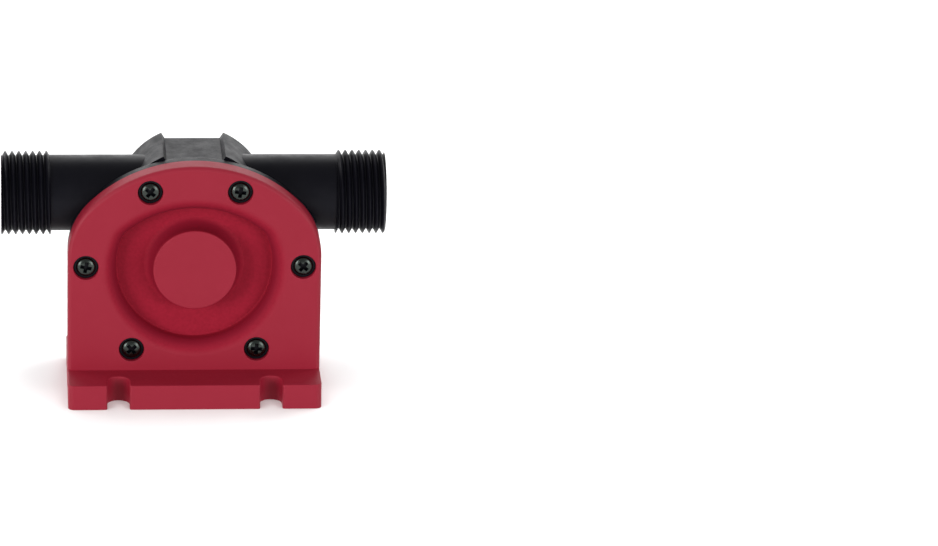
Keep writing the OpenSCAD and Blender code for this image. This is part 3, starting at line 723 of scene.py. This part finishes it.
def makeScrew():
    # head, washer and shank are one turned profile, and two tapered arms cut the cross
    r, rim, step = screw["headRadius"], screw["washerRadius"], screw["washerFront"]
    y, ease, edge = screw["headBottom"], screw["washerEase"], screw["washerEdge"]
    top, tip = y - screw["headHeight"], y + screw["shankLength"]
    shank, chamfer = screw["shankRadius"], screw["tipChamfer"]
    points = [(radius, top + fall, 0) for radius, fall in screw["dome"]]
    points += [(r, step - screw["headFoot"], 0), (r + screw["headGap"], step, 0),
               (rim - ease, step, 0), (rim, step + ease, 0), (rim, y - edge, 0),
               (rim - edge, y, 0), (shank, y, 0), (shank, tip - chamfer, 0),
               (shank - chamfer, tip, 0), (0, tip, 0)]
    piece = turnProfile("screw", points, (0, 0, 0), (0, 1, 0), screw["steps"])
    wide, long = screw["crossWidth"] / 2, screw["crossLength"] / 2
    for turn in (0, 90):
        arm = addBlock("arm", (-long, -overrun, -wide), (long, top + screw["crossDepth"], wide))
        onlySelect(arm)
        bpy.ops.object.mode_set(mode="EDIT")
        mesh = bmesh.from_edit_mesh(arm.data)
        for vertex in mesh.verts:
            vertex.select_set(vertex.co.y > 0)
        mesh.select_flush_mode()
        bmesh.update_edit_mesh(arm.data)
        bpy.ops.transform.resize(value=screw["crossTaper"], center_override=(0, 0, 0))
        bpy.ops.object.mode_set(mode="OBJECT")
        arm.data.transform(Matrix.Rotation(math.radians(turn), 4, "Y"))
        cutOut(piece, arm)
    return piece


firstScrew = makeScrew()
coverScrews = []
for i, (x, dz) in enumerate(body["screws"]):
    piece = copyPiece(firstScrew, "cover_screw_%d_head" % (i + 1))
    piece.data.transform(Matrix.Translation((x, 0, body["axisHeight"] + dz))
                         @ Matrix.Rotation(math.radians(screw["turns"][i]), 4, "Y"))
    finishSurface(piece, screw["smoothAngle"])
    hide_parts("cover_screw_%d" % (i + 1))
    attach(piece, "housing")
    coverScrews.append(piece)
bpy.data.objects.remove(firstScrew, do_unlink=True)
print("screws modelled")


# Materials

def linear(code):
    # an sRGB hex colour as the linear values the shader wants
    parts = [int(code[i:i + 2], 16) / 255 for i in (0, 2, 4)]
    return tuple(p / 12.92 if p <= 0.04045 else ((p + 0.055) / 1.055) ** 2.4 for p in parts) + (1,)


def perMetre(size):
    # a noise's scale for a pattern of this size in mm, as Object coordinates are in metres
    return 1 / (size * mm)


def addNode(tree, kind, settings=None, links=None):
    # settings are attributes or sockets by name, links are sockets fed by other nodes' outputs
    node = tree.nodes.new(kind)
    for key, value in (settings or {}).items():
        if hasattr(node, key):
            setattr(node, key, value)
        else:
            node.inputs[key].default_value = value
    for key, source in (links or {}).items():
        tree.links.new(source, node.inputs[key])
    return node


def startMaterial(name, **constants):
    # constants are the shader's own sockets, with _ for a space
    material = bpy.data.materials.new(name)
    material.use_nodes = True
    tree = material.node_tree
    shader = tree.nodes["Principled BSDF"]
    for key, value in constants.items():
        shader.inputs[key.replace("_", " ")].default_value = value
    place = tree.nodes.new("ShaderNodeTexCoord").outputs["Object"]
    return material, tree, shader, place


# Both plastics have an IOR of about 1.53, lowered here to the photograph's weaker sheen.
# Injection moulded ABS: an even, saturated red with a soft, broad sheen. Where the mould stands
# into the part, in the recess and the screws' sinks, it is speckled and almost dull, and painted
# shade darkens its slopes.
redFinish = {
    "name": "moulded red ABS", "colour": "9A192F", "paler": "A01D35", "ior": 1.39,
    "sheen": "FFFFFF", "roughness": 0.56, "spread": 0.06, "scuff": 0.03,
    # wall is the darker red of the painted shade on the slopes
    "sunk": {"colour": "92162B", "paler": "AE2139", "wall": "8E162D", "roughness": 0.7,
             "gloss": 0.2},
}
# Injection moulded nylon: nearly black and faintly blue, greyed by the pale room where it
# faces up, with a satin sheen that is uneven from handling
blackFinish = {
    "name": "moulded black nylon", "colour": "0A0A0F", "paler": "0E0E15", "ior": 1.22,
    "sheen": "F9F8FF", "roughness": 0.42, "spread": 0.05, "scuff": 0.08, "sunk": None,
}
# What both moulds leave, in mm. Their spark-eroded grain is really about 0.1 mm, and 0.2 mm in
# the recess: too fine to show in the render, so both are drawn coarser.
mould = {
    "grain": 0.714, "recessGrain": 0.909, "grainHeight": 0.04, "grainStrength": 0.12,
    "flow": 16.67,  # width of the faint marks where the plastic flowed
    "handled": 5.26, "handledFrom": 0.35, "handledTo": 0.65,  # width of the handled patches
    "plainGloss": 0.5,  # the shader's own specular level, kept on the face
}


def dullAndShadeSunk(tree, shader, place, sunk, colour, roughness):
    # the cover's own marks carry the finish down from its face to the recess's walls and floor,
    # and lay painted shade on the walls
    mark = addNode(tree, "ShaderNodeAttribute", {"attribute_name": "sunk"}).outputs["Fac"]
    slope = addNode(tree, "ShaderNodeAttribute", {"attribute_name": "wall"}).outputs["Fac"]
    speckle = addNode(tree, "ShaderNodeTexNoise",
                      {"Scale": perMetre(mould["recessGrain"]), "Detail": 2}, {"Vector": place})
    bottom = addNode(tree, "ShaderNodeMix", {"data_type": "RGBA", "A": linear(sunk["colour"]),
                                             "B": linear(sunk["paler"])},
                     {"Factor": speckle.outputs["Fac"]})
    # painted shade: the slopes are mixed towards the darker red
    paintedWallShade = addNode(tree, "ShaderNodeMix", {"data_type": "RGBA", "B": linear(sunk["wall"])},
                    {"Factor": slope, "A": bottom.outputs["Result"]})
    deeper = addNode(tree, "ShaderNodeMix", {"data_type": "RGBA"},
                     {"Factor": mark, "A": colour, "B": paintedWallShade.outputs["Result"]})
    duller = addNode(tree, "ShaderNodeMix", {"B": sunk["roughness"]},
                     {"Factor": mark, "A": roughness})
    gloss = addNode(tree, "ShaderNodeMapRange",
                    {"To Min": mould["plainGloss"], "To Max": sunk["gloss"]}, {"Value": mark})
    tree.links.new(gloss.outputs["Result"], shader.inputs["Specular IOR Level"])
    return deeper.outputs["Result"], duller.outputs["Result"]


def mouldedPlastic(finish):
    # faint flow marks in the colour, a fine grain that breaks up the sheen, and handled patches
    material, tree, shader, place = startMaterial(
        finish["name"], IOR=finish["ior"], Specular_Tint=linear(finish["sheen"]))
    flow = addNode(tree, "ShaderNodeTexNoise", {"Scale": perMetre(mould["flow"]), "Detail": 3},
                   {"Vector": place})
    grain = addNode(tree, "ShaderNodeTexNoise", {"Scale": perMetre(mould["grain"]), "Detail": 2},
                    {"Vector": place})
    handled = addNode(tree, "ShaderNodeTexNoise",
                      {"Scale": perMetre(mould["handled"]), "Detail": 5, "Roughness": 0.7},
                      {"Vector": place})
    tint = addNode(tree, "ShaderNodeMix", {"data_type": "RGBA", "A": linear(finish["colour"]),
                                           "B": linear(finish["paler"])},
                   {"Factor": flow.outputs["Fac"]})
    grained = addNode(tree, "ShaderNodeMapRange",
                      {"To Min": finish["roughness"] - finish["spread"],
                       "To Max": finish["roughness"] + finish["spread"]},
                      {"Value": grain.outputs["Fac"]})
    patches = addNode(tree, "ShaderNodeMapRange",
                      {"From Min": mould["handledFrom"], "From Max": mould["handledTo"],
                       "To Min": -finish["scuff"], "To Max": finish["scuff"]},
                      {"Value": handled.outputs["Fac"]})
    worn = addNode(tree, "ShaderNodeMath", {},
                   {0: grained.outputs["Result"], 1: patches.outputs["Result"]})
    colour, roughness = tint.outputs["Result"], worn.outputs["Value"]
    if finish["sunk"]:
        colour, roughness = dullAndShadeSunk(tree, shader, place, finish["sunk"], colour, roughness)
    bump = addNode(tree, "ShaderNodeBump",
                   {"Strength": mould["grainStrength"], "Distance": mould["grainHeight"] * mm},
                   {"Height": grain.outputs["Fac"]})
    tree.links.new(colour, shader.inputs["Base Color"])
    tree.links.new(roughness, shader.inputs["Roughness"])
    tree.links.new(bump.outputs["Normal"], shader.inputs["Normal"])
    return material


mattRed = mouldedPlastic(redFinish)
satinBlack = mouldedPlastic(blackFinish)

# Metals: tooling marks and pores are really about 0.1 mm apart and are drawn coarser
tooling = {"marks": 1.111, "spread": 0.08}


def metal(name, colour, roughness):
    # one colour, whose gloss varies a little with the tooling marks
    material, tree, shader, place = startMaterial(name, Metallic=1, Base_Color=linear(colour))
    marks = addNode(tree, "ShaderNodeTexNoise", {"Scale": perMetre(tooling["marks"]), "Detail": 3},
                    {"Vector": place})
    rough = addNode(tree, "ShaderNodeMapRange", {"To Min": roughness - tooling["spread"],
                                                 "To Max": roughness + tooling["spread"]},
                    {"Value": marks.outputs["Fac"]})
    tree.links.new(rough.outputs["Result"], shader.inputs["Roughness"])
    return material


blackOxide = metal("black oxide steel", "3C413E", 0.25)  # dark and faintly green, clear glints
groundSteel = metal("ground steel", "B8B9BA", 0.22)  # bright, with tight highlights
springSteel = metal("spring steel", "8E9092", 0.3)  # greyer and a little duller
castBronze = metal("sintered bronze", "A8793C", 0.42)  # brown gold, dulled by its open pores
turnedBrass = metal("turned brass", "C6A24E", 0.3)  # yellow, with a soft shine


# Nitrile rubber: nearly black and dull, with a dusty bloom in patches of about 4 mm
rubber = {"name": "moulded nitrile rubber", "colour": "171718", "dusty": "2A2A2B", "ior": 1.52,
          "roughness": 0.68, "bloom": 4}


def mouldedRubber():
    material, tree, shader, place = startMaterial(
        rubber["name"], IOR=rubber["ior"], Roughness=rubber["roughness"])
    bloom = addNode(tree, "ShaderNodeTexNoise", {"Scale": perMetre(rubber["bloom"]), "Detail": 4},
                    {"Vector": place})
    tint = addNode(tree, "ShaderNodeMix", {"data_type": "RGBA", "A": linear(rubber["colour"]),
                                           "B": linear(rubber["dusty"])},
                   {"Factor": bloom.outputs["Fac"]})
    tree.links.new(tint.outputs["Result"], shader.inputs["Base Color"])
    return material


blackRubber = mouldedRubber()

finishes = {
    "cover_seal": blackRubber, "rubber_impeller": blackRubber, "impeller_hub": turnedBrass,
    "drive_pin": groundSteel, "drive_shaft": groundSteel, "front_bush": castBronze,
    "rear_bush": castBronze, "shaft_seal": blackRubber, "seal_spring": springSteel,
    "bearing_cap": satinBlack, "thrust_washer_front": groundSteel,
    "thrust_washer_rear": groundSteel, "retaining_ring": springSteel,
}


def giveFinish(piece, *materials):
    piece.data.materials.clear()
    for material in materials:
        piece.data.materials.append(material)


for name, material in finishes.items():
    giveFinish(nodes[name], material)
giveFinish(coverShell, mattRed)
for piece in (casingShell, inletPipe, outletPipe):
    giveFinish(piece, satinBlack)
for piece, (x, dz) in zip(coverScrews, body["screws"]):
    giveFinish(piece, blackOxide, satinBlack)  # the washer and the foot of the cross are darker
    for face in piece.data.polygons:
        away = face.center / mm - Vector((x, 0, body["axisHeight"] + dz))
        out = math.hypot(away.x, away.z)
        # faces deep in the cross get the black nylon too: painted shade in its recess
        paintedCrossShade = (out < screw["crossLength"] / 2 + screw["shadeMargin"]
                   and away.y > screw["crossShade"])
        face.material_index = int(paintedCrossShade or out > screw["headRadius"])
print("materials given")


# Floor, studio light and surroundings
studio = {
    "floorSize": 6000, "floorColour": "F6F6F6", "floorRoughness": 0.9, "surroundings": 0.42,
    "lights": {  # place and size in mm, power in watts
        "leftKey": {"place": (-1350, -1200, 360), "size": 800, "power": 17},
        "rightKey": {"place": (1130, -1430, 360), "size": 800, "power": 12},
        "back": {"place": (0, 1500, 700), "size": 1500, "power": 12.5},
        "rearLeft": {"place": (-1500, 900, 700), "size": 900, "power": 9},
        "rearRight": {"place": (1500, 900, 700), "size": 900, "power": 9},
        "wash": {"place": (0, 0, 2200), "size": 2000, "power": 32},
    },
}


def makeFloor():
    # smooth matt paper: pale, with no reflection of its own
    onlyDeselect()
    bpy.ops.mesh.primitive_plane_add(size=studio["floorSize"] * mm)
    floor = bpy.context.object
    floor.name = "floor"
    material = startMaterial("matt white paper", Base_Color=linear(studio["floorColour"]),
                             Roughness=studio["floorRoughness"])[0]
    floor.data.materials.append(material)
    floor.visible_diffuse = False  # it shows in the pump's gloss, but doesn't brighten the pump
    return floor


def addSoftLight(name, facts):
    # a square softbox that faces the pump
    data = bpy.data.lights.new(name, "AREA")
    data.shape, data.size, data.energy = "SQUARE", facts["size"] * mm, facts["power"]
    light = bpy.data.objects.new(name, data)
    bpy.context.scene.collection.objects.link(light)
    spot = Vector(metres(*facts["place"]))
    turn = (spot - Vector(metres(*view["look"]))).to_track_quat("Z", "Y")
    light.matrix_world = Matrix.Translation(spot) @ turn.to_matrix().to_4x4()
    return light


def lightRoom():
    world = bpy.data.worlds.new("surroundings")
    bpy.context.scene.world = world
    world.use_nodes = True
    sky = world.node_tree.nodes["Background"]
    sky.inputs["Color"].default_value = (1, 1, 1, 1)
    sky.inputs["Strength"].default_value = studio["surroundings"]


floor = makeFloor()
lightRoom()
softLights = {name: addSoftLight(name, facts) for name, facts in studio["lights"].items()}
floorOnly = bpy.data.collections.new("floorOnly")
floorOnly.objects.link(floor)
softLights["wash"].light_linking.receiver_collection = floorOnly  # whitens the paper alone
print("stage set")
